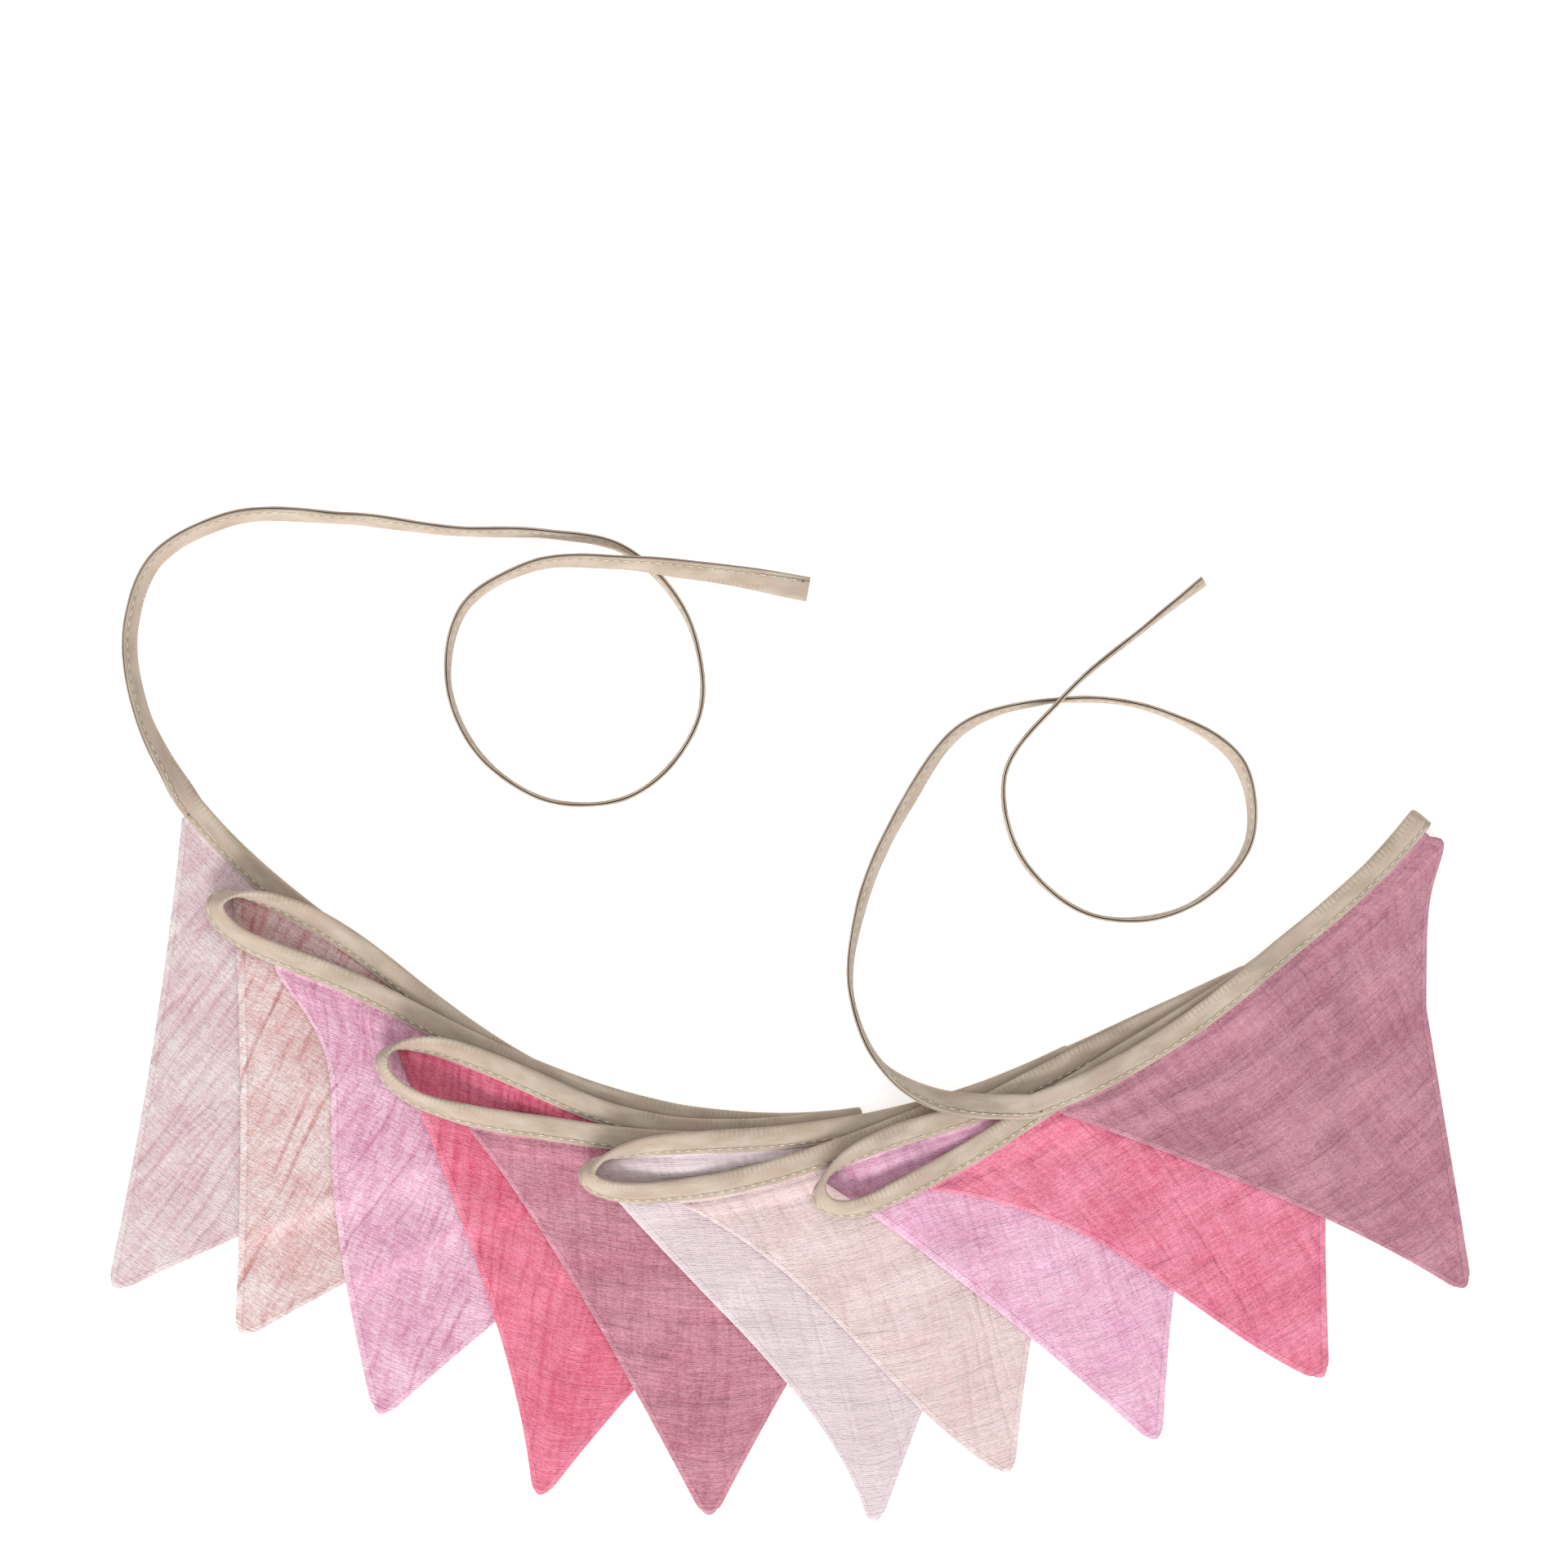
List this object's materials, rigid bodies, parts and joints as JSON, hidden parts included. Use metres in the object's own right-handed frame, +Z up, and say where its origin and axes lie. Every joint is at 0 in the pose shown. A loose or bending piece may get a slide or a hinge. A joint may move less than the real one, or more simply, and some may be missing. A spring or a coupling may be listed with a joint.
{
  "type": "fabric bunting",
  "caption": "Triangular crinkled muslin pennants sewn into a folded cotton tape with long ties, laid in a zigzag so that the pennants fan out.",
  "frame": {"origin": "middle of the base of the box round the binding and the pennants, on the surface they lie on", "axes": "+X along the fan of pennants to the right, +Y from the pennants' tips towards the binding and the ties, +Z up"},
  "size_m": [0.519, 0.3862, 0.0316],
  "materials": {
    "tape": "plain cotton bias tape, matte",
    "pale_pink_muslin": "crinkled double gauze cotton, matte",
    "peach_muslin": "crinkled double gauze cotton, matte",
    "orchid_muslin": "crinkled double gauze cotton, matte",
    "hot_pink_muslin": "crinkled double gauze cotton, matte",
    "mauve_muslin": "crinkled double gauze cotton, matte",
    "palest_pink_muslin": "crinkled double gauze cotton, matte"
  },
  "bodies": {
    "root": {"binding": "tape", "pennant_01": "pale_pink_muslin", "pennant_02": "peach_muslin", "pennant_03": "orchid_muslin", "pennant_04": "hot_pink_muslin", "pennant_05": "mauve_muslin", "pennant_06": "palest_pink_muslin", "pennant_07": "peach_muslin", "pennant_08": "orchid_muslin", "pennant_09": "hot_pink_muslin", "pennant_10": "mauve_muslin", "tie_left": "tape", "tie_right": "tape"}
  },
  "joints": []
}
